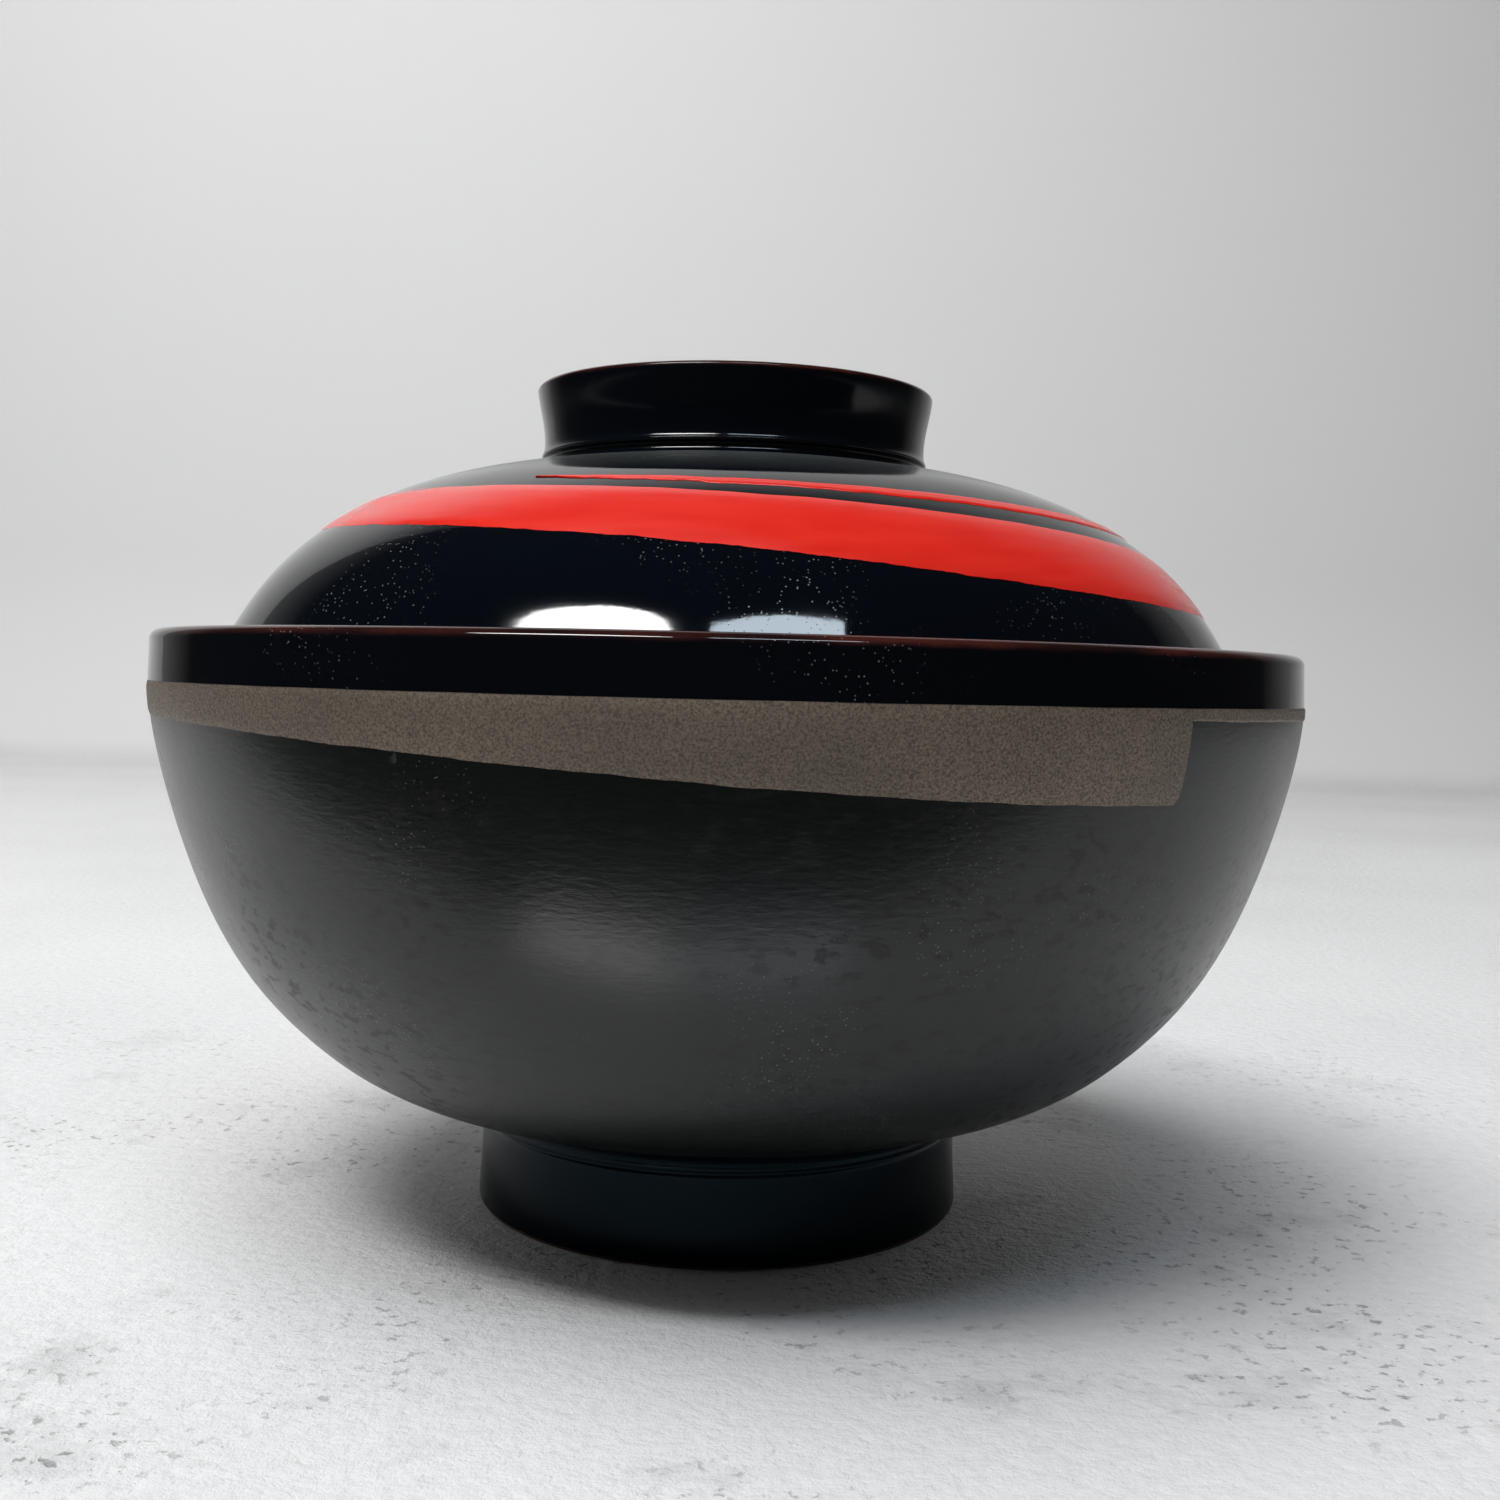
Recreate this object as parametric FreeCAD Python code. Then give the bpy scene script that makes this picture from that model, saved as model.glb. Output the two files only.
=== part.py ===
"""Lidded rice bowl: a turned wooden bowl and a lid that sits inside its rim, both lacquered.

The frame is +Z up, with the origin at the middle of the foot ring's resting face.
All sizes are in millimetres. Every outline lies in the XZ plane, as (radius, height),
and is drawn so that the wood is on the left of its travel. Lacquer is built as thin
solids between the finished surface and the same outline sunk by the lacquer's depth.
"""
import FreeCAD, Part
import math
import os

os.makedirs("parts", exist_ok=True)

# Lacquer and paint
LACQUER = 0.4
PAINT = 0.2

# Bowl
RIM_R = 65.0
RIM_Z = 65.5
MASK_Z = 60.1
LIP_ROUND = 1.1
LIP_OUTER_R = 64.85
LIP_INNER_R = 61.45
LIP_SIDE_Z = RIM_Z - LIP_ROUND
FLOOR_Z = 15.2

# Foot ring
FOOT_R = 28.5
FOOT_NECK_R = 28.1
FOOT_HOLE_R = 25.0
FOOT_PAD = 0.3
COVE = 1.8
COVE_Z = 11.0
RECESS_Z = 9.5
RECESS_ROUND = 2.0
BEAD_Z = 10.6
BEAD = 0.3
BELLY_RISE = 12

# Lid
EDGE_ROUND = 1.2
EDGE_R = 60.75
EDGE_Z = 57.4
CROWN_UNDER_Z = 85.2
DOME_LEAN = 20
DOME_END_RISE = 8
UNDER_LEAN = 27

# Knob ring of the lid
KNOB_NECK_R = 22.0
KNOB_R = 23.0
KNOB_TOP_Z = 94.7
KNOB_ROUND = 0.5
KNOB_HOLE_R = 20.4
KNOB_CORNER = 1.5
KNOB_FLOOR_Z = 88.6
NECK_COVE = 0.8
NECK_Z = 86.2

# Grey stroke: one turn round the bowl, thin at its start and blunt at its end
GREY_START = -49.5
GREY_TURN = 359.0
GREY_TOP_Z = 60.05
GREY_THIN = 1.1
GREY_GROWTH = 3.4
GREY_SWELL = 4.2
GREY_SWELL_FROM = 0.72

# Red stroke: heights of its two edges by the angle that it has turned through
RED_START = -118.0
RED_TOP = [
    (0, 80.8), (45, 80.1), (76, 79.4), (200, 79.1),
    (339, 80.1), (388, 78.8), (424, 77.3), (490, 74.6)]
RED_BOTTOM = [
    (0, 80.5), (45, 79.3), (76, 78.4), (200, 77.2),
    (339, 76.0), (388, 73.4), (424, 70.7), (490, 68.8)]

UP = FreeCAD.Vector(0, 0, 1)
ORIGIN = FreeCAD.Vector(0, 0, 0)
SPLINE_SAMPLES = 40

# Strokes are lofted in spans of at most this many degrees, each with this many steps, between
# walls that reach from inside to outside of the surface that they are painted on
SPAN = 60
SPAN_STEPS = 4
BELLY_WALL = (55, 70)
DOME_WALL = (30, 66)


def at(radius, height):
    return FreeCAD.Vector(radius, 0, height)


def round_point(centre, radius, angle):
    """The point of a circle in the outline's plane; angle 0 points away from the axis, 90 up."""
    turn = math.radians(angle)
    return centre[0] + radius * math.cos(turn), centre[1] + radius * math.sin(turn)


# Outline pieces: each is a curve and how many of its points describe it

def line(start, end):
    return Part.LineSegment(at(*start), at(*end)), 2


def arc(centre, radius, start, end):
    """Arc about centre from the start angle to the end angle."""
    return Part.Arc(*[at(*round_point(centre, radius, a)) for a in (start, (start + end) / 2, end)]), 3


def smooth(points, leave, arrive):
    """Curve through the points, with its headings at both ends in degrees."""
    headings = [at(*round_point((0, 0), 1, a)) for a in (leave, arrive)]
    curve = Part.BSplineCurve()
    curve.interpolate(Points=[at(*p) for p in points], InitialTangent=headings[0], FinalTangent=headings[1])
    return curve, SPLINE_SAMPLES


def sunk(piece, depth):
    """The outline piece moved by depth to the left of its travel, into the wood.

    Two points make it a straight line, three an arc, and more a spline.
    """
    curve, count = piece
    step = (curve.LastParameter - curve.FirstParameter) / (count - 1)
    moved = []
    for i in range(count):
        parameter = curve.FirstParameter + step * i
        point = curve.value(parameter)
        tangent = curve.tangent(parameter)[0]
        moved.append(FreeCAD.Vector(point.x - tangent.z * depth, 0, point.z + tangent.x * depth))
    if count == 2:
        return Part.LineSegment(*moved)
    if count == 3:
        return Part.Arc(*moved)
    leave = curve.tangent(curve.FirstParameter)[0]
    arrive = curve.tangent(curve.LastParameter)[0]
    result = Part.BSplineCurve()
    result.interpolate(Points=moved, InitialTangent=leave, FinalTangent=arrive)
    return result


# The bowl's outline, from the foot up the outside, over the lip and down the inside

COVE_CENTRE = (FOOT_NECK_R + COVE, COVE_Z)
LIP_OUTER_CENTRE = (LIP_OUTER_R - LIP_ROUND, LIP_SIDE_Z)
LIP_INNER_CENTRE = (LIP_INNER_R + LIP_ROUND, LIP_SIDE_Z)
RECESS_CENTRE = (FOOT_HOLE_R - RECESS_ROUND, RECESS_Z - RECESS_ROUND)

FOOT_SIDE = smooth([(FOOT_R, FOOT_PAD), (28.25, 5), (FOOT_NECK_R, COVE_Z)], 90, 90)
FOOT_COVE = arc(COVE_CENTRE, COVE, 180, 90 + BELLY_RISE)
BELLY = smooth(
    [round_point(COVE_CENTRE, COVE, 90 + BELLY_RISE), (38.5, 15.2), (44.3, 18.2), (48.9, 21.9), (53.9, 27.4),
     (58.2, 34.6), (61.8, 44), (64.2, 53.3), (RIM_R, MASK_Z)], BELLY_RISE, 90)
RIM = smooth([(RIM_R, MASK_Z), (LIP_OUTER_R, LIP_SIDE_Z)], 90, 90)
LIP_OUTER = arc(LIP_OUTER_CENTRE, LIP_ROUND, 0, 90)
LIP_TOP = line((LIP_OUTER_R - LIP_ROUND, RIM_Z), (LIP_INNER_R + LIP_ROUND, RIM_Z))
LIP_INNER = arc(LIP_INNER_CENTRE, LIP_ROUND, 90, 180)
INSIDE = smooth(
    [(LIP_INNER_R, LIP_SIDE_Z), (61.0, 58), (58.9, 47.5), (54.7, 36.2), (46.2, 25), (34, 18.7), (18, 15.9),
     (0, FLOOR_Z)], 270, 180)
RECESS_ROOF = line((0, RECESS_Z), (FOOT_HOLE_R - RECESS_ROUND, RECESS_Z))
RECESS_CORNER = arc(RECESS_CENTRE, RECESS_ROUND, 90, 0)
RECESS_WALL = line((FOOT_HOLE_R, RECESS_Z - RECESS_ROUND), (FOOT_HOLE_R, FOOT_PAD))

BOWL_OUTLINE = [FOOT_SIDE, FOOT_COVE, BELLY, RIM, LIP_OUTER, LIP_TOP, LIP_INNER, INSIDE]
RECESS_OUTLINE = [RECESS_ROOF, RECESS_CORNER, RECESS_WALL]

# The lid's outline, from the lowest point of its edge up the outside, over the knob ring to the axis

EDGE_CENTRE = (EDGE_R - EDGE_ROUND, EDGE_Z)
NECK_CENTRE = (KNOB_NECK_R + NECK_COVE, NECK_Z)
KNOB_SIDE_Z = KNOB_TOP_Z - KNOB_ROUND
KNOB_OUTER_CENTRE = (KNOB_R - KNOB_ROUND, KNOB_SIDE_Z)
KNOB_INNER_CENTRE = (KNOB_HOLE_R + KNOB_ROUND, KNOB_SIDE_Z)
KNOB_FILLET_CENTRE = (KNOB_HOLE_R - KNOB_CORNER, KNOB_FLOOR_Z + KNOB_CORNER)

EDGE_OUTER = arc(EDGE_CENTRE, EDGE_ROUND, -90, DOME_LEAN)
DOME = smooth(
    [round_point(EDGE_CENTRE, EDGE_ROUND, DOME_LEAN), (59.3, 60.9), (56.7, 65.4), (54.2, 69.4), (50.8, 73.5),
     (45.9, 77.6), (39.4, 81.2), (31.5, 83.8), round_point(NECK_CENTRE, NECK_COVE, 270 - DOME_END_RISE)],
    90 + DOME_LEAN, 180 - DOME_END_RISE)
NECK = arc(NECK_CENTRE, NECK_COVE, 270 - DOME_END_RISE, 180)
KNOB_SIDE = smooth([(KNOB_NECK_R, NECK_Z), (22.4, 90), (KNOB_R, KNOB_SIDE_Z)], 90, 90)
KNOB_OUTER = arc(KNOB_OUTER_CENTRE, KNOB_ROUND, 0, 90)
KNOB_TOP = line((KNOB_R - KNOB_ROUND, KNOB_TOP_Z), (KNOB_HOLE_R + KNOB_ROUND, KNOB_TOP_Z))
KNOB_INNER = arc(KNOB_INNER_CENTRE, KNOB_ROUND, 90, 180)
KNOB_WALL = line((KNOB_HOLE_R, KNOB_SIDE_Z), (KNOB_HOLE_R, KNOB_FLOOR_Z + KNOB_CORNER))
KNOB_FILLET = arc(KNOB_FILLET_CENTRE, KNOB_CORNER, 0, -90)
KNOB_FLOOR = line((KNOB_HOLE_R - KNOB_CORNER, KNOB_FLOOR_Z), (0, KNOB_FLOOR_Z))
UNDERSIDE = smooth(
    [(0, CROWN_UNDER_Z), (20, 83.1), (38, 78.3), (48.4, 71.4), (54, 64.2),
     round_point(EDGE_CENTRE, EDGE_ROUND, 180 + UNDER_LEAN)], 0, 270 + UNDER_LEAN)
EDGE_INNER = arc(EDGE_CENTRE, EDGE_ROUND, 180 + UNDER_LEAN, 270)

KNOB_OUTLINE = [NECK, KNOB_SIDE, KNOB_OUTER, KNOB_TOP, KNOB_INNER, KNOB_WALL, KNOB_FILLET, KNOB_FLOOR]
LID_OUTLINE = [EDGE_OUTER, DOME] + KNOB_OUTLINE
UNDER_OUTLINE = [UNDERSIDE, EDGE_INNER]


# Solids

def spun(edges):
    """The closed outline turned a full circle about the vertical axis."""
    face = Part.Face(Part.Wire(Part.__sortEdges__(edges)))
    return face.revolve(ORIGIN, UP, 360)


def bridge(points):
    return [Part.LineSegment(a, b).toShape() for a, b in zip(points, points[1:])]


def layer(outline, top, bottom):
    """The ring between the outline at depth top and the same outline at depth bottom."""
    upper = [sunk(piece, top) for piece in outline]
    lower = [sunk(piece, bottom) for piece in outline]
    caps = [[upper[0].StartPoint, lower[0].StartPoint], [upper[-1].EndPoint, lower[-1].EndPoint]]
    edges = [curve.toShape() for curve in upper + lower]
    return spun(edges + bridge(caps[0]) + bridge(caps[1]))


def lacquer(outline):
    return layer(outline, 0, LACQUER)


def bowl_core():
    outside = [sunk(piece, LACQUER) for piece in BOWL_OUTLINE]
    recess = [sunk(piece, LACQUER) for piece in RECESS_OUTLINE]
    hole = recess[-1].EndPoint
    side = outside[0].StartPoint
    axis = bridge([outside[-1].EndPoint, recess[0].StartPoint])
    pad = bridge([hole, at(hole.x, 0), at(side.x, 0), side])
    return spun([curve.toShape() for curve in outside + recess] + axis + pad)


def lid_core():
    outside = [sunk(piece, LACQUER) for piece in LID_OUTLINE]
    under = [sunk(piece, LACQUER) for piece in UNDER_OUTLINE]
    axis = bridge([outside[-1].EndPoint, under[0].StartPoint])
    return spun([curve.toShape() for curve in outside + under] + axis)


def foot_lacquer(core):
    """The foot ring's outside, with the fine bead that is turned just under the cove."""
    bead = Part.makeTorus(FOOT_NECK_R, BEAD, FreeCAD.Vector(0, 0, BEAD_Z))
    return lacquer([FOOT_SIDE, FOOT_COVE]).fuse(bead).cut(core)


def section(angle, low, high, inner, outer):
    """An upright rectangle in the half plane at the given angle."""
    c, s = math.cos(math.radians(angle)), math.sin(math.radians(angle))
    corners = [(inner, low), (outer, low), (outer, high), (inner, high), (inner, low)]
    return Part.makePolygon([FreeCAD.Vector(r * c, r * s, z) for r, z in corners])


def stroke(ring, start, turn, edges_at, wall):
    """The paint ring kept between two edge heights, which change as the stroke turns."""
    spans = math.ceil(turn / SPAN)
    pieces = []
    for i in range(spans):
        turned = [turn * (i + k / SPAN_STEPS) / spans for k in range(SPAN_STEPS + 1)]
        walls = [section(start + t, *edges_at(t), *wall) for t in turned]
        pieces.append(ring.common(Part.makeLoft(walls, True, False)))
    return pieces[0].multiFuse(pieces[1:]).removeSplitter()


def grey_edges(turned):
    """Bottom and top of the grey stroke: it widens slowly, then swells to its blunt end."""
    along = turned / GREY_TURN
    swell = max(0, (along - GREY_SWELL_FROM) / (1 - GREY_SWELL_FROM))
    width = GREY_THIN + GREY_GROWTH * along + GREY_SWELL * swell * swell * (3 - 2 * swell)
    return GREY_TOP_Z - width, GREY_TOP_Z


def height_curve(heights):
    curve = Part.BSplineCurve()
    curve.interpolate([at(*p) for p in heights])
    return curve


def red_edges(turned):
    """Bottom and top of the red stroke, read off its two height curves."""
    probe = Part.LineSegment(at(turned, 0), at(turned, KNOB_TOP_Z))
    return [curve.intersectCC(probe)[0].Z for curve in (RED_LOWER, RED_UPPER)]


RED_LOWER = height_curve(RED_BOTTOM)
RED_UPPER = height_curve(RED_TOP)


def build():
    bowl = bowl_core()
    lid = lid_core()
    belly_paint = layer([BELLY], -PAINT, 0)
    dome_paint = layer([DOME], -PAINT, 0)
    red_turn = RED_TOP[-1][0]
    return {
        "bowl_core": bowl,
        "bowl_foot_lacquer": foot_lacquer(bowl),
        "bowl_recess_lacquer": lacquer(RECESS_OUTLINE),
        "bowl_belly_lacquer": lacquer([BELLY]),
        "bowl_rim_lacquer": lacquer([RIM, LIP_OUTER, LIP_TOP, LIP_INNER]),
        "bowl_inner_lacquer": lacquer([INSIDE]),
        "bowl_grey_stroke": stroke(belly_paint, GREY_START, GREY_TURN, grey_edges, BELLY_WALL),
        "lid_core": lid,
        "lid_dome_lacquer": lacquer([EDGE_OUTER, DOME]),
        "lid_knob_lacquer": lacquer(KNOB_OUTLINE),
        "lid_inner_lacquer": lacquer(UNDER_OUTLINE),
        "lid_red_stroke": stroke(dome_paint, RED_START, red_turn, red_edges, DOME_WALL),
    }


for node, shape in build().items():
    if len(shape.Solids) == 1:
        shape = shape.Solids[0]
    print(node, shape.ShapeType, len(shape.Solids), shape.isValid(), round(shape.Volume, 1))
    shape.exportStep("parts/" + node + ".step")
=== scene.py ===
"""Looks of the lidded rice bowl: turned lacquer coats, painted strokes, materials, light and camera.

Outlines are in millimetres as (radius, height) and become metres in the meshes. They are drawn so that
the wood is on the left of their travel. They follow the design, apart from a finer knob lip and foot bead.
"""
import math

import bpy
import numpy as np
from mathutils import Matrix, Vector, noise


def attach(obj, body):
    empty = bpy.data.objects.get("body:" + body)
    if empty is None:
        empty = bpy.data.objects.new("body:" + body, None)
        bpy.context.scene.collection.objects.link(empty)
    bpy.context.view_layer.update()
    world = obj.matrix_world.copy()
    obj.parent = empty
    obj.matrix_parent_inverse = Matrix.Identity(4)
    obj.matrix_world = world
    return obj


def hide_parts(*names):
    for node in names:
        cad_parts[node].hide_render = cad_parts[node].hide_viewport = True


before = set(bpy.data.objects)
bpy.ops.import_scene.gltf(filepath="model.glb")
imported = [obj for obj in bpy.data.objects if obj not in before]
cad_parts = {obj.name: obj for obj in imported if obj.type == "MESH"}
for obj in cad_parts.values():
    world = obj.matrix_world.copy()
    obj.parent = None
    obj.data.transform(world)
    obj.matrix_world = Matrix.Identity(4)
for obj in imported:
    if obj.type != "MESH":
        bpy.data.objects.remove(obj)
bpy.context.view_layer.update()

scene = bpy.context.scene

MM = 0.001

# Mesh fineness: steps round a full turn, millimetres between points of a curve, a stroke's steps, and the
# radius under which a point counts as on the axis
ROUND_STEPS = 384
CURVE_STEP = 0.5
STROKE_STEPS_ACROSS = 14
STROKE_STEPS_PER_DEGREE = 2
ON_AXIS = 1e-4

# Lacquer and paint, millimetres
LACQUER = 0.4
PAINT = 0.12
PAINT_LIFT = 0.01
PAINT_BED = 0.05

# Bowl
RIM_R = 65.0
RIM_Z = 65.5
MASK_Z = 60.1
LIP_ROUND = 1.1
LIP_OUTER_R = 64.85
LIP_INNER_R = 61.45
LIP_SIDE_Z = RIM_Z - LIP_ROUND
FLOOR_Z = 15.2

# Foot ring
FOOT_R = 28.5
FOOT_NECK_R = 28.1
FOOT_HOLE_R = 25.0
FOOT_PAD = 0.3
COVE = 1.8
COVE_Z = 11.0
BELLY_RISE = 12
RECESS_Z = 9.5
RECESS_ROUND = 2.0
FOOT_EDGE = 0.35
BEAD_Z = 10.6
BEAD = 0.07

# Lid
EDGE_ROUND = 1.2
EDGE_R = 60.75
EDGE_Z = 57.4
CROWN_UNDER_Z = 85.2
DOME_LEAN = 20
DOME_END_RISE = 8
UNDER_LEAN = 27

# Knob ring
KNOB_NECK_R = 22.0
KNOB_R = 23.0
KNOB_TOP_Z = 94.7
KNOB_ROUND = 0.5
KNOB_HOLE_R = 20.4
KNOB_CORNER = 1.5
KNOB_FLOOR_Z = 88.6
NECK_COVE = 0.8
NECK_Z = 86.2
KNOB_SIDE_Z = KNOB_TOP_Z - KNOB_ROUND

# Strokes: angles in degrees, heights and widths in millimetres
GREY_START = -50.5
GREY_TURN = 360.0
GREY_TOP_Z = 60.05
GREY_THIN = 1.1
GREY_GROWTH = 3.4
GREY_SWELL = 4.2
GREY_SWELL_FROM = 0.72
GREY_CORNER = 0.7
GREY_WOBBLE = 0.12
RED_START = -118.0
RED_TOP = [
    (0, 80.8), (45, 80.1), (76, 79.4), (200, 79.1),
    (339, 80.1), (388, 78.8), (424, 77.3), (490, 74.6)]
RED_BOTTOM = [
    (0, 80.5), (45, 79.3), (76, 78.4), (200, 77.2),
    (339, 76.0), (388, 73.4), (424, 70.7), (490, 68.8)]
RED_TURN = RED_TOP[-1][0]
RED_END_R = 53
RED_END_ROUND = 1.2
RED_TAPER = 14
RED_HAIR = 1.5
RED_WOBBLE = 0.14


# Outlines

def round_point(centre, radius, angle):
    turn = math.radians(angle)
    return centre[0] + radius * math.cos(turn), centre[1] + radius * math.sin(turn)


def spline_values(knots, values, first_slope, last_slope, wanted):
    """Cubic spline through values at knots, with given end slopes, read at the wanted places."""
    knots, values = np.array(knots, float), np.array(values, float)
    gaps = np.diff(knots)
    rises = np.diff(values) / gaps
    count = len(knots)
    matrix = np.eye(count)
    right = np.zeros(count)
    right[0], right[-1] = first_slope, last_slope
    for i in range(1, count - 1):
        matrix[i, i - 1:i + 2] = gaps[i], 2 * (gaps[i] + gaps[i - 1]), gaps[i - 1]
        right[i] = 3 * (gaps[i] * rises[i - 1] + gaps[i - 1] * rises[i])
    slopes = np.linalg.solve(matrix, right)
    place = np.clip(np.searchsorted(knots, wanted) - 1, 0, count - 2)
    gap = gaps[place]
    t = (np.array(wanted) - knots[place]) / gap
    start, end = values[place], values[place + 1]
    return ((2 * t ** 3 - 3 * t ** 2 + 1) * start + (t ** 3 - 2 * t ** 2 + t) * gap * slopes[place]
            + (3 * t ** 2 - 2 * t ** 3) * end + (t ** 3 - t ** 2) * gap * slopes[place + 1])


def smooth(points, leave, arrive):
    """Curve through the points, with its headings at both ends in degrees."""
    path = np.array(points, float)
    lengths = np.concatenate([[0], np.cumsum(np.hypot(*np.diff(path, axis=0).T))])
    wanted = np.linspace(0, lengths[-1], max(4, round(lengths[-1] / CURVE_STEP) + 1))
    ends = [round_point((0, 0), 1, angle) for angle in (leave, arrive)]
    columns = [spline_values(lengths, path[:, i], ends[0][i], ends[1][i], wanted) for i in (0, 1)]
    return np.stack(columns, 1)


def arc(centre, radius, start, end):
    count = max(5, round(abs(end - start) / 10) + 1)
    return np.array([round_point(centre, radius, a) for a in np.linspace(start, end, count)])


def line(start, end):
    count = max(2, round(math.dist(start, end) / 2) + 1)
    return np.linspace(start, end, count)


def joined(*parts):
    """The parts as one outline, without doubled points."""
    whole = [parts[0]]
    whole += [part[1:] for part in parts[1:]]
    return np.concatenate(whole)


def normals(outline):
    """Unit vectors out of the wood, to the right of the outline's travel."""
    along = np.gradient(outline, axis=0)
    along /= np.linalg.norm(along, axis=1, keepdims=True)
    return np.stack([along[:, 1], -along[:, 0]], 1)


def raised(outline, height):
    return outline + normals(outline) * height


COVE_CENTRE = (FOOT_NECK_R + COVE, COVE_Z)
EDGE_CENTRE = (EDGE_R - EDGE_ROUND, EDGE_Z)
NECK_CENTRE = (KNOB_NECK_R + NECK_COVE, NECK_Z)
KNOB_LIP = (KNOB_NECK_R + 0.22, NECK_Z + 0.62)
KNOB_LIP_ROUND = 0.25


def foot_outline():
    """Outside of the foot ring, with the fine turned bead just under the cove."""
    ring = smooth([(FOOT_R, FOOT_PAD), (28.25, 5), (FOOT_NECK_R, COVE_Z)], 90, 90)
    below = ring[ring[:, 1] < BEAD_Z - 0.6]
    bead = smooth(
        [(FOOT_NECK_R - 0.05, BEAD_Z - 0.5), (FOOT_NECK_R + BEAD, BEAD_Z), (FOOT_NECK_R, BEAD_Z + 0.3)],
        75, 100)
    cove = arc(COVE_CENTRE, COVE, 180, 90 + BELLY_RISE)
    foot_edge = arc((FOOT_R - FOOT_EDGE, FOOT_PAD + FOOT_EDGE), FOOT_EDGE, -70, 0)
    return np.concatenate([foot_edge, below[1:], bead, cove])


def belly_outline():
    return smooth(
        [round_point(COVE_CENTRE, COVE, 90 + BELLY_RISE), (38.5, 15.2), (44.3, 18.2), (48.9, 21.9),
         (53.9, 27.4), (58.2, 34.6), (61.8, 44), (64.2, 53.3), (RIM_R, MASK_Z)], BELLY_RISE, 90)


def rim_outline():
    return joined(
        smooth([(RIM_R, MASK_Z), (LIP_OUTER_R, LIP_SIDE_Z)], 90, 90),
        arc((LIP_OUTER_R - LIP_ROUND, LIP_SIDE_Z), LIP_ROUND, 0, 90),
        line((LIP_OUTER_R - LIP_ROUND, RIM_Z), (LIP_INNER_R + LIP_ROUND, RIM_Z)),
        arc((LIP_INNER_R + LIP_ROUND, LIP_SIDE_Z), LIP_ROUND, 90, 180))


def inside_outline():
    return smooth(
        [(LIP_INNER_R, LIP_SIDE_Z), (61.0, 58), (58.9, 47.5), (54.7, 36.2),
         (46.2, 25), (34, 18.7), (18, 15.9), (0, FLOOR_Z)], 270, 180)


def recess_outline():
    corner = (FOOT_HOLE_R - RECESS_ROUND, RECESS_Z - RECESS_ROUND)
    return joined(
        line((0, RECESS_Z), (FOOT_HOLE_R - RECESS_ROUND, RECESS_Z)),
        arc(corner, RECESS_ROUND, 90, 0),
        line((FOOT_HOLE_R, RECESS_Z - RECESS_ROUND), (FOOT_HOLE_R, FOOT_PAD)))


def dome_curve():
    return smooth(
        [round_point(EDGE_CENTRE, EDGE_ROUND, DOME_LEAN), (59.3, 60.9), (56.7, 65.4), (54.2, 69.4),
         (50.8, 73.5), (45.9, 77.6), (39.4, 81.2), (31.5, 83.8),
         round_point(NECK_CENTRE, NECK_COVE, 270 - DOME_END_RISE)],
        90 + DOME_LEAN, 180 - DOME_END_RISE)


def dome_outline():
    return joined(arc(EDGE_CENTRE, EDGE_ROUND, -90, DOME_LEAN), dome_curve())


def knob_outline():
    """Knob ring: undercut neck, flared lower edge, side, top and recess."""
    return joined(
        arc(NECK_CENTRE, NECK_COVE, 270 - DOME_END_RISE, 190),
        smooth([round_point(NECK_CENTRE, NECK_COVE, 190), (KNOB_NECK_R + 0.02, NECK_Z + 0.15),
                round_point(KNOB_LIP, KNOB_LIP_ROUND, -75)], 100, 15),
        arc(KNOB_LIP, KNOB_LIP_ROUND, -75, 50),
        smooth([round_point(KNOB_LIP, KNOB_LIP_ROUND, 50), (KNOB_NECK_R + 0.22, NECK_Z + 1.2),
                (KNOB_NECK_R + 0.16, NECK_Z + 2.2), (22.4, 90.8), (KNOB_R, KNOB_SIDE_Z)], 140, 84),
        arc((KNOB_R - KNOB_ROUND, KNOB_SIDE_Z), KNOB_ROUND, 0, 90),
        line((KNOB_R - KNOB_ROUND, KNOB_TOP_Z), (KNOB_HOLE_R + KNOB_ROUND, KNOB_TOP_Z)),
        arc((KNOB_HOLE_R + KNOB_ROUND, KNOB_SIDE_Z), KNOB_ROUND, 90, 180),
        line((KNOB_HOLE_R, KNOB_SIDE_Z), (KNOB_HOLE_R, KNOB_FLOOR_Z + KNOB_CORNER)),
        arc((KNOB_HOLE_R - KNOB_CORNER, KNOB_FLOOR_Z + KNOB_CORNER), KNOB_CORNER, 0, -90),
        line((KNOB_HOLE_R - KNOB_CORNER, KNOB_FLOOR_Z), (0, KNOB_FLOOR_Z)))


def under_outline():
    return joined(
        smooth([(0, CROWN_UNDER_Z), (20, 83.1), (38, 78.3), (48.4, 71.4), (54, 64.2),
                round_point(EDGE_CENTRE, EDGE_ROUND, 180 + UNDER_LEAN)], 0, 270 + UNDER_LEAN),
        arc(EDGE_CENTRE, EDGE_ROUND, 180 + UNDER_LEAN, 270))


# Meshes

def new_piece(name, points, faces, material, body, nodes):
    mesh = bpy.data.meshes.new(name)
    mesh.from_pydata(points, [], faces)
    mesh.validate()
    mesh.shade_smooth()
    mesh.set_sharp_from_angle(angle=math.radians(50))
    mesh.materials.append(material)
    piece = bpy.data.objects.new(name, mesh)
    scene.collection.objects.link(piece)
    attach(piece, body)
    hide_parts(*nodes)
    return piece


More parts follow.
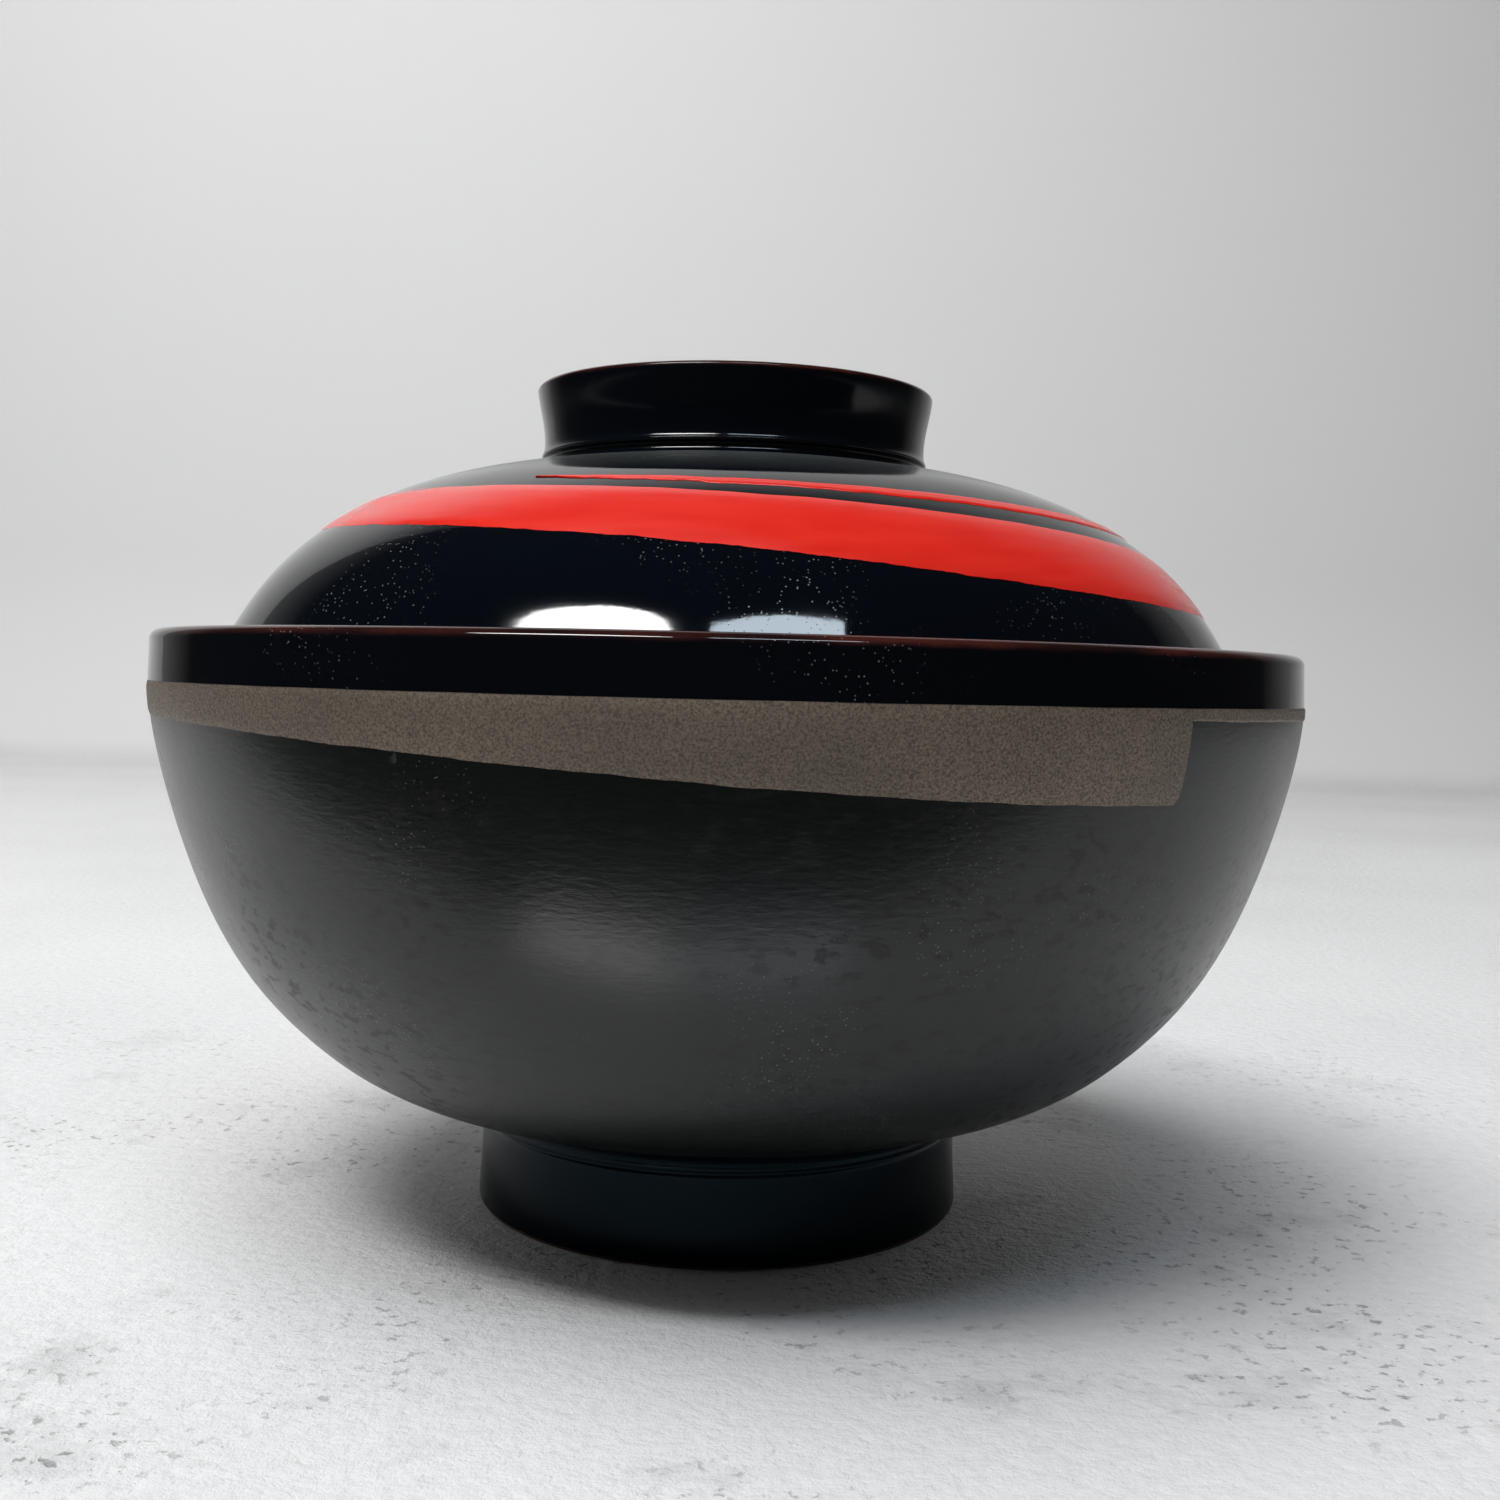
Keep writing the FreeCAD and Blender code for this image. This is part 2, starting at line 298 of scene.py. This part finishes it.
def turned(outline):
    """Points and faces of the closed outline turned a full circle about the vertical axis."""
    points, rings = [], []
    for radius, height in outline:
        if radius < ON_AXIS:
            rings.append([len(points)])
            points.append((0, 0, height * MM))
            continue
        rings.append(range(len(points), len(points) + ROUND_STEPS))
        for i in range(ROUND_STEPS):
            angle = math.tau * i / ROUND_STEPS
            points.append((radius * math.cos(angle) * MM, radius * math.sin(angle) * MM, height * MM))
    faces = []
    for low, high in zip(rings, rings[1:] + rings[:1]):
        for i in range(ROUND_STEPS):
            j = (i + 1) % ROUND_STEPS
            corners = [low[i % len(low)], low[j % len(low)], high[j % len(high)], high[i % len(high)]]
            face = list(dict.fromkeys(corners))
            if len(face) > 2:
                faces.append(face)
    return points, faces


def coat(name, outline, material, body, node):
    """A lacquer coat as a closed thin shell: the outline and the same outline sunk by its depth."""
    sunk = raised(outline, -LACQUER)
    sunk[:, 0] = np.maximum(sunk[:, 0], 0)
    points, faces = turned(np.concatenate([outline, sunk[::-1]]))
    return new_piece(name, points, faces, material, body, [node])


def shake(turned_by, rate, row):
    """Smooth noise between -1 and 1 along a stroke; each row is a line of its own."""
    return noise.noise((turned_by * rate, row, 0))


def painted_stroke(name, surface, start, turn, edges_at, wobble, material, body, node):
    """A thin painted band that follows the surface between two edge heights, rounded off at its edges."""
    order = np.argsort(surface[:, 1])
    heights, radii, out = surface[order, 1], surface[order, 0], normals(surface)[order]
    share = np.linspace(0, 1, STROKE_STEPS_ACROSS)
    crown = PAINT * np.minimum(1, 6 * np.minimum(share, 1 - share)) ** 0.5 + PAINT_LIFT
    steps = round(turn * STROKE_STEPS_PER_DEGREE)
    points = []
    for i in range(steps + 1):
        turned_by = turn * i / steps
        low, high = edges_at(turned_by)
        angle = math.radians(start + turned_by)
        low += wobble * (shake(turned_by, 0.21, 3.1) + 0.5 * shake(turned_by, 1.3, 7.7))
        high += wobble * 0.6 * shake(turned_by, 0.17, 11.3)
        level = low + (high - low) * share
        base = np.stack([np.interp(level, heights, radii), level], 1)
        facing = np.stack([np.interp(level, heights, out[:, k]) for k in (0, 1)], 1)
        loop = np.concatenate([base + facing * crown[:, None], (base - facing * PAINT_BED)[::-1]])
        points += [(r * math.cos(angle) * MM, r * math.sin(angle) * MM, z * MM) for r, z in loop]
    size = 2 * STROKE_STEPS_ACROSS
    faces = []
    for i in range(steps):
        for j in range(size):
            k = (j + 1) % size
            faces.append((i * size + j, i * size + k, (i + 1) * size + k, (i + 1) * size + j)[::-1])
    faces.append(tuple(range(size)))
    faces.append(tuple(range(steps * size, (steps + 1) * size))[::-1])
    return new_piece(name, points, faces, material, body, [node])


def grey_edges(turned_by):
    """Bottom and top of the grey stroke: it widens slowly, then swells to its blunt end."""
    along = turned_by / GREY_TURN
    swell = max(0, (along - GREY_SWELL_FROM) / (1 - GREY_SWELL_FROM))
    width = GREY_THIN + GREY_GROWTH * along + GREY_SWELL * swell * swell * (3 - 2 * swell)
    to_end = (GREY_TURN - turned_by) * math.radians(RIM_R)
    cut = GREY_CORNER - math.sqrt(max(0, GREY_CORNER ** 2 - max(0, GREY_CORNER - to_end) ** 2))
    return GREY_TOP_Z - width + cut, GREY_TOP_Z


def red_height(heights, turned_by):
    places, values = zip(*heights)
    slopes = [(values[i + 1] - values[i]) / (places[i + 1] - places[i]) for i in (0, len(places) - 2)]
    return float(spline_values(places, values, *slopes, np.array([turned_by]))[0])


def red_edges(turned_by):
    """Bottom and top of the red stroke, drawn to a hairline at its start and rounded at its end."""
    low, high = red_height(RED_BOTTOM, turned_by), red_height(RED_TOP, turned_by)
    middle = (low + high) / 2
    taper = min(1, (turned_by + RED_HAIR) / RED_TAPER)
    to_end = (RED_TURN - turned_by) * math.radians(RED_END_R)
    blunt = math.sqrt(max(0.05, 1 - max(0, 1 - to_end / RED_END_ROUND) ** 2))
    return middle + (low - middle) * taper * blunt, middle + (high - middle) * taper * blunt


# Materials

LACQUER_BLACK = (0.0016, 0.002, 0.0032)
LID_BLACK = (0.0012, 0.0022, 0.0042)
KNOB_BLACK = (0.0012, 0.0022, 0.004)
FOOT_BLACK = (0.0008, 0.0024, 0.0045)
WORN_BROWN = (0.045, 0.011, 0.008)
DUST_GREY = (0.3, 0.31, 0.32)
# Lighter grey painted near the top of the lid: a painted reflection
PAINTED_SHEEN_GREY = (0.034, 0.038, 0.038)


class Shader:
    """A Principled material, and short ways to add and join its nodes."""

    def __init__(self, name, colour, roughness, **sockets):
        self.material = bpy.data.materials.new(name)
        self.material.use_nodes = True
        self.tree = self.material.node_tree
        self.surface = self.tree.nodes["Principled BSDF"]
        self.surface.inputs["Base Color"].default_value = (*colour, 1)
        self.surface.inputs["Roughness"].default_value = roughness
        for socket, value in sockets.items():
            self.surface.inputs[socket.replace("_", " ")].default_value = value
        self.place = self.node("ShaderNodeTexCoord").outputs["Object"]

    def node(self, kind, **settings):
        made = self.tree.nodes.new(kind)
        for name, value in settings.items():
            setattr(made, name, value)
        return made

    def plug(self, value, socket):
        if isinstance(value, bpy.types.NodeSocket):
            self.tree.links.new(value, socket)
        else:
            socket.default_value = value

    def scaled(self, x, y, z):
        made = self.node("ShaderNodeMapping")
        self.plug(self.place, made.inputs["Vector"])
        made.inputs["Scale"].default_value = (x, y, z)
        return made.outputs["Vector"]

    def noise(self, scale, detail=2.0, vector=None, rough=0.5):
        made = self.node("ShaderNodeTexNoise")
        self.plug(vector or self.place, made.inputs["Vector"])
        made.inputs["Scale"].default_value = scale
        made.inputs["Detail"].default_value = detail
        made.inputs["Roughness"].default_value = rough
        return made.outputs["Fac"]

    def spots(self, scale, size):
        """1 inside small round spots scattered at random, 0 between them."""
        made = self.node("ShaderNodeTexVoronoi")
        self.plug(self.place, made.inputs["Vector"])
        made.inputs["Scale"].default_value = scale
        return self.span(made.outputs["Distance"], size * 0.7, size, 1, 0)

    def span(self, value, low, high, to_low=0.0, to_high=1.0):
        made = self.node("ShaderNodeMapRange")
        self.plug(value, made.inputs["Value"])
        numbers = {"From Min": low, "From Max": high, "To Min": to_low, "To Max": to_high}
        for name, number in numbers.items():
            made.inputs[name].default_value = number
        return made.outputs["Result"]

    def math(self, operation, first, second=0.0):
        made = self.node("ShaderNodeMath", operation=operation)
        self.plug(first, made.inputs[0])
        self.plug(second, made.inputs[1])
        return made.outputs[0]

    def mix(self, factor, first, second):
        made = self.node("ShaderNodeMix", data_type="RGBA")
        self.plug(factor, made.inputs["Factor"])
        self.plug(first if isinstance(first, bpy.types.NodeSocket) else (*first, 1), made.inputs["A"])
        self.plug(second if isinstance(second, bpy.types.NodeSocket) else (*second, 1), made.inputs["B"])
        return made.outputs["Result"]

    def axis(self, name):
        made = self.node("ShaderNodeSeparateXYZ")
        self.plug(self.place, made.inputs["Vector"])
        return made.outputs[name]

    def bump(self, value, distance, strength=1.0, before=None):
        made = self.node("ShaderNodeBump")
        self.plug(value, made.inputs["Height"])
        made.inputs["Distance"].default_value = distance
        made.inputs["Strength"].default_value = strength
        if before:
            self.plug(before, made.inputs["Normal"])
        return made.outputs["Normal"]

    def finish(self, colour=None, roughness=None, normal=None):
        for value, socket in ((colour, "Base Color"), (roughness, "Roughness"), (normal, "Normal")):
            if value:
                self.plug(value, self.surface.inputs[socket])
        return self.material


def dust(shader, colour, roughness, amount=0.5):
    """Scattered pale dust specks over a colour and a roughness."""
    where = shader.span(shader.noise(45, 3), amount, amount + 0.12)
    small = shader.spots(1900, 0.17)
    large = shader.span(shader.noise(800, 1), 0.8, 0.82)
    speck = shader.math("MULTIPLY", shader.math("MAXIMUM", small, large), where)
    speck = shader.math("MULTIPLY", speck, 0.5)
    rough = shader.math("ADD", roughness, shader.math("MULTIPLY", speck, 0.5))
    return shader.mix(speck, colour, DUST_GREY), rough


def gloss_lacquer(name, colour, roughness, worn=None, sheen_heights=None, dusty=0.55, gloss=0.5, tint=(1, 1, 1)):
    """Mirror-like black lacquer with faint waves, wiped smears and dust.

    It wears brown between the two heights of worn. From the first to the second of the other pair of
    heights it turns a lighter grey, which is a painted reflection, and it grows rougher.
    """
    shader = Shader(name, colour, roughness, IOR=1.5, Specular_IOR_Level=gloss, Specular_Tint=(*tint, 1))
    tone = shader.mix(shader.noise(30, 4), [c * 0.7 for c in colour], [c * 1.4 for c in colour])
    if worn:
        ragged = shader.math("MULTIPLY", shader.noise(260, 3), 0.0006)
        level = shader.math("ADD", shader.axis("Z"), ragged)
        patchy = shader.span(shader.noise(70, 3), 0.38, 0.62, 0.25, 1)
        wear = shader.math("MULTIPLY", shader.span(level, worn[0] * MM, worn[1] * MM), patchy)
        tone = shader.mix(wear, tone, WORN_BROWN)
    smears = shader.noise(38, 3, shader.scaled(1, 1, 2.5))
    rough = shader.span(smears, 0.35, 0.75, roughness * 0.7, roughness * 2.0)
    # Painted reflection: over this band of heights a lighter grey is painted in, and roughness is added
    if sheen_heights:
        dull = shader.span(shader.axis("Z"), sheen_heights[0] * MM, sheen_heights[1] * MM)
        tone = shader.mix(dull, tone, PAINTED_SHEEN_GREY)
        rough = shader.math("ADD", rough, shader.math("MULTIPLY", dull, 0.3))
    tone, rough = dust(shader, tone, rough, dusty)
    waves = shader.bump(shader.noise(75, 1), 0.00006)
    return shader.finish(tone, rough, shader.bump(shader.noise(600, 2), 0.000003, before=waves))


def satin_lacquer():
    """Satin black belly: a fine sideways wrinkle, dull blotches that break its shine, and dust."""
    shader = Shader("satin_black_lacquer", (0.0035, 0.0045, 0.0045), 0.33, IOR=1.5)
    blots = shader.span(shader.noise(520, 4, shader.scaled(1, 1, 1.7)), 0.54, 0.62)
    patches = shader.span(shader.noise(24, 2), 0.42, 0.58)
    blots = shader.math("MULTIPLY", blots, patches)
    cloudy = shader.noise(55, 3)
    tone = shader.mix(cloudy, (0.0022, 0.0032, 0.0032), (0.0042, 0.0053, 0.005))
    tone = shader.mix(blots, tone, (0.0015, 0.0016, 0.0018))
    rough = shader.span(cloudy, 0.3, 0.7, 0.27, 0.33)
    rough = shader.math("ADD", rough, shader.math("MULTIPLY", blots, 0.13))
    tone, rough = dust(shader, tone, rough, 0.54)
    peel = shader.bump(shader.noise(620, 3, shader.scaled(1, 1, 3.2)), 0.000028)
    return shader.finish(tone, rough, shader.bump(shader.noise(2600, 2), 0.000008, before=peel))


def grey_paint():
    """Grey-bronze powder paint: fine gold-brown grain, soft darker patches."""
    shader = Shader("grey_powder_paint", (0.14, 0.118, 0.1), 0.5, Metallic=0.35, IOR=1.45)
    grain = shader.noise(4600, 2)
    tone = shader.mix(shader.span(grain, 0.33, 0.67), (0.102, 0.079, 0.061), (0.26, 0.209, 0.16))
    flecks = shader.span(shader.noise(3400, 1), 0.66, 0.74)
    tone = shader.mix(flecks, tone, (0.27, 0.215, 0.15))
    clouds = shader.span(shader.noise(34, 3, shader.scaled(1, 1, 1.8)), 0.35, 0.7)
    tone = shader.mix(shader.math("MULTIPLY", clouds, 0.45), tone, (0.075, 0.062, 0.053))
    rough = shader.span(grain, 0.3, 0.7, 0.62, 0.42)
    return shader.finish(tone, rough, shader.bump(grain, 0.00005))


def red_lacquer():
    """Vermilion lacquer, brushed along the stroke."""
    shader = Shader("vermilion_lacquer", (0.78, 0.035, 0.017), 0.2, IOR=1.5)
    brushed = shader.noise(120, 3, shader.scaled(1, 1, 7))
    tone = shader.mix(brushed, (0.57, 0.014, 0.009), (0.7, 0.028, 0.016))
    rough = shader.span(brushed, 0.3, 0.7, 0.15, 0.27)
    tone, rough = dust(shader, tone, rough, 0.62)
    return shader.finish(tone, rough, shader.bump(brushed, 0.00004))


def turned_wood():
    """Dark stained wood of the foot's rubbed resting face."""
    shader = Shader("turned_wood", (0.09, 0.045, 0.025), 0.55)
    grain = shader.noise(90, 5, shader.scaled(1, 6, 6))
    pores = shader.span(shader.noise(700, 2, shader.scaled(1, 9, 9)), 0.6, 0.7)
    tone = shader.mix(grain, (0.05, 0.024, 0.014), (0.16, 0.085, 0.05))
    tone = shader.mix(pores, tone, (0.02, 0.01, 0.007))
    return shader.finish(tone, shader.span(grain, 0.3, 0.7, 0.45, 0.65), shader.bump(grain, 0.00008))


def plaster():
    """Pale plaster: smooth on the backdrop, grainy on the floor, stained and pitted round the object."""
    shader = Shader("pale_plaster", (0.75, 0.75, 0.75), 0.8)
    on_floor = shader.span(shader.axis("Z"), 0.001, 0.01, 1, 0)
    broad = shader.span(shader.noise(9, 4), 0.3, 0.7)
    grain = shader.span(shader.noise(520, 5, rough=0.7), 0.35, 0.65)
    mottle = shader.math("MULTIPLY", shader.math("ADD", broad, grain), on_floor)
    tone = shader.mix(shader.math("MULTIPLY", mottle, 0.5), (0.75, 0.75, 0.752), (0.64, 0.64, 0.645))
    nearby = shader.math("MULTIPLY", shader.span(shader.axis("Y"), 0.0, 0.14, 1, 0), on_floor)
    stains = shader.span(shader.noise(46, 6, rough=0.65), 0.56, 0.68, 0, 0.3)
    tone = shader.mix(shader.math("MULTIPLY", stains, nearby), tone, (0.25, 0.25, 0.25))
    clusters = shader.span(shader.noise(23, 3), 0.44, 0.58)
    pits = shader.math("MULTIPLY", shader.span(shader.noise(560, 4, rough=0.6), 0.59, 0.65), clusters)
    pits = shader.math("MULTIPLY", pits, nearby)
    tone = shader.mix(shader.math("MULTIPLY", pits, 0.65), tone, (0.2, 0.2, 0.2))
    relief = shader.math("MULTIPLY", shader.math("SUBTRACT", grain, pits), on_floor)
    return shader.finish(tone, normal=shader.bump(relief, 0.0003, 0.7))


# The object

def build_bowl():
    foot = gloss_lacquer(
        "foot_black_lacquer", FOOT_BLACK, 0.16, dusty=0.62, gloss=0.12, tint=(0.55, 0.85, 1))
    rim = gloss_lacquer(
        "rim_black_lacquer", LACQUER_BLACK, 0.045, worn=(RIM_Z - 0.6, RIM_Z - 0.1), dusty=0.5)
    inner = gloss_lacquer("inner_black_lacquer", LACQUER_BLACK, 0.07, dusty=0.6)
    belly = satin_lacquer()
    coat("foot_coat", foot_outline(), foot, "bowl", "bowl_foot_lacquer")
    coat("recess_coat", recess_outline(), foot, "bowl", "bowl_recess_lacquer")
    coat("belly_coat", belly_outline(), belly, "bowl", "bowl_belly_lacquer")
    coat("rim_coat", rim_outline(), rim, "bowl", "bowl_rim_lacquer")
    coat("inner_coat", inside_outline(), inner, "bowl", "bowl_inner_lacquer")
    painted_stroke("grey_stroke", belly_outline(), GREY_START, GREY_TURN, grey_edges, GREY_WOBBLE,
                   grey_paint(), "bowl", "bowl_grey_stroke")


def build_lid():
    # The dome turns a lighter grey just under the knob, which is a painted reflection
    dome = gloss_lacquer("dome_black_lacquer", LID_BLACK, 0.04, sheen_heights=(81.5, 84.5), dusty=0.49)
    knob = gloss_lacquer(
        "knob_black_lacquer", KNOB_BLACK, 0.15, worn=(KNOB_TOP_Z - 0.3, KNOB_TOP_Z), dusty=0.58)
    under = gloss_lacquer("under_black_lacquer", LID_BLACK, 0.07, dusty=0.6)
    coat("dome_coat", dome_outline(), dome, "lid", "lid_dome_lacquer")
    coat("knob_coat", knob_outline(), knob, "lid", "lid_knob_lacquer")
    coat("under_coat", under_outline(), under, "lid", "lid_inner_lacquer")
    painted_stroke("red_stroke", dome_curve(), RED_START, RED_TURN, red_edges, RED_WOBBLE,
                   red_lacquer(), "lid", "lid_red_stroke")


def finish_cores():
    wood = turned_wood()
    for node in ("bowl_core", "lid_core"):
        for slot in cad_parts[node].material_slots:
            slot.material = wood


# Floor, light and camera

def build_stage():
    """Pale floor that sweeps up into a backdrop behind the object."""
    near, wall, sweep, top, half = -0.9, 0.99, 0.14, 2.2, 1.0
    side = [(near, 0.0), (0.0, 0.0), (wall - sweep, 0.0)]
    side += [(wall - sweep + sweep * math.sin(a), sweep - sweep * math.cos(a))
             for a in np.linspace(0, math.pi / 2, 12)[1:]]
    side.append((wall, top))
    points = [(x, y, z) for y, z in side for x in (-half, half)]
    faces = [(2 * i, 2 * i + 1, 2 * i + 3, 2 * i + 2) for i in range(len(side) - 1)]
    mesh = bpy.data.meshes.new("backdrop")
    mesh.from_pydata(points, [], faces)
    mesh.shade_smooth()
    mesh.materials.append(plaster())
    backdrop = bpy.data.objects.new("backdrop", mesh)
    scene.collection.objects.link(backdrop)


def area_light(name, place, size, power, colour=(1, 1, 1), shape="RECTANGLE", target=None, tilt=0, turn=0,
               seen=False):
    """An area light that shines at its target, or straight down, tilted and turned by angles in degrees.

    Only lights that are seen show in gloss.
    """
    light = bpy.data.lights.new(name, "AREA")
    light.shape = shape
    light.size, light.size_y = size
    light.energy = power
    light.color = colour
    lamp = bpy.data.objects.new(name, light)
    lamp.location = place
    lamp.rotation_euler = (math.radians(tilt), 0, math.radians(turn))
    if target:
        lamp.rotation_euler = (Vector(target) - Vector(place)).to_track_quat("-Z", "Y").to_euler()
    lamp.visible_camera = False
    lamp.visible_glossy = seen
    scene.collection.objects.link(lamp)


def build_lights():
    """Two windows above the camera that the gloss mirrors, soft fills, and light off the near floor."""
    centre = (0, 0, 0.05)
    cool, blue = (0.85, 0.92, 1), (0.75, 0.88, 1.0)
    glow, up = (0.036, 0.013), 180
    area_light("left_window", (-0.3, -0.325, 0.7), (0.42, 0.1), 3.0, shape="ELLIPSE", turn=-20.5, seen=True)
    area_light("right_window", (0.101, -0.375, 0.7), (0.28, 0.055), 0.7, blue, turn=9.6, seen=True)
    area_light("left_fill", (-0.9, 0.2, 0.5), (0.7, 0.7), 1.6, target=centre)
    area_light("right_fill", (0.95, 0.35, 0.5), (0.5, 0.6), 1.3, target=centre)
    area_light("top_fill", (-0.3, -0.25, 1.3), (1.0, 0.8), 15, target=(0, -0.05, 0))
    area_light("wall_wash", (-0.4, 0.2, 1.0), (0.9, 0.4), 4.2, target=(-0.2, 0.99, 0.75))
    area_light("floor_glow_left", (-0.029, -0.087, 0.002), glow, 0.0036, tilt=up, seen=True)
    area_light("floor_glow_right", (0.009, -0.088, 0.002), glow, 0.0018, cool, tilt=up, seen=True)


def build_flag():
    """A black card on the floor in front, which only reflections see."""
    level = 0.001
    corners = [
        (-0.9, -0.9), (0.9, -0.9), (0.9, -0.3), (0.25, -0.12),
        (0, -0.096), (-0.1, -0.08), (-0.2, -0.03), (-0.9, 0.3)]
    mesh = bpy.data.meshes.new("black_flag")
    mesh.from_pydata([(x, y, level) for x, y in corners], [], [range(len(corners))])
    mesh.materials.append(Shader("black_card", (0.004, 0.004, 0.004), 0.9).material)
    flag = bpy.data.objects.new("black_flag", mesh)
    scene.collection.objects.link(flag)
    flag.visible_camera = False
    flag.visible_diffuse = False
    flag.visible_shadow = False


def build_world():
    """Pale to the eye; as light and in reflections it is dim in front and brighter behind the object."""
    world = bpy.data.worlds.new("studio")
    scene.world = world
    world.use_nodes = True
    tree = world.node_tree
    tree.nodes.clear()
    coordinates = tree.nodes.new("ShaderNodeTexCoord")
    split = tree.nodes.new("ShaderNodeSeparateXYZ")
    tree.links.new(coordinates.outputs["Generated"], split.inputs["Vector"])
    ramp = tree.nodes.new("ShaderNodeMapRange")
    tree.links.new(split.outputs["Y"], ramp.inputs["Value"])
    for name, number in (("From Min", 0.5), ("From Max", 1.0), ("To Min", 0.015), ("To Max", 0.45)):
        ramp.inputs[name].default_value = number
    path = tree.nodes.new("ShaderNodeLightPath")
    mix = tree.nodes.new("ShaderNodeMix")
    tree.links.new(path.outputs["Is Camera Ray"], mix.inputs["Factor"])
    tree.links.new(ramp.outputs["Result"], mix.inputs["A"])
    mix.inputs["B"].default_value = 0.62
    background = tree.nodes.new("ShaderNodeBackground")
    tree.links.new(mix.outputs["Result"], background.inputs["Strength"])
    background.inputs["Color"].default_value = (1, 1, 1, 1)
    output = tree.nodes.new("ShaderNodeOutputWorld")
    tree.links.new(background.outputs["Background"], output.inputs["Surface"])


def build_camera():
    """Low camera close in front, a little below the lip, turned and rolled slightly."""
    place = (0, -0.197, 0.0619)
    pitch, yaw, roll = (math.radians(a) for a in (-3.97, 0.82, 1.41))
    data = bpy.data.cameras.new("camera")
    data.sensor_width = 36
    data.lens = 39.66
    data.shift_y = 0.028
    data.clip_start, data.clip_end = 0.01, 20
    ahead = Vector((math.sin(yaw) * math.cos(pitch), math.cos(yaw) * math.cos(pitch), math.sin(pitch)))
    right = Vector((math.cos(yaw), -math.sin(yaw), 0))
    up = right.cross(ahead)
    across = math.cos(roll) * right + math.sin(roll) * up
    above = math.cos(roll) * up - math.sin(roll) * right
    turn = Matrix((across, above, -ahead)).transposed().to_4x4()
    camera = bpy.data.objects.new("camera", data)
    camera.matrix_world = Matrix.Translation(place) @ turn
    scene.collection.objects.link(camera)
    scene.camera = camera


build_bowl()
build_lid()
finish_cores()
build_stage()
build_lights()
build_flag()
build_world()
build_camera()
scene.view_settings.view_transform = "Standard"
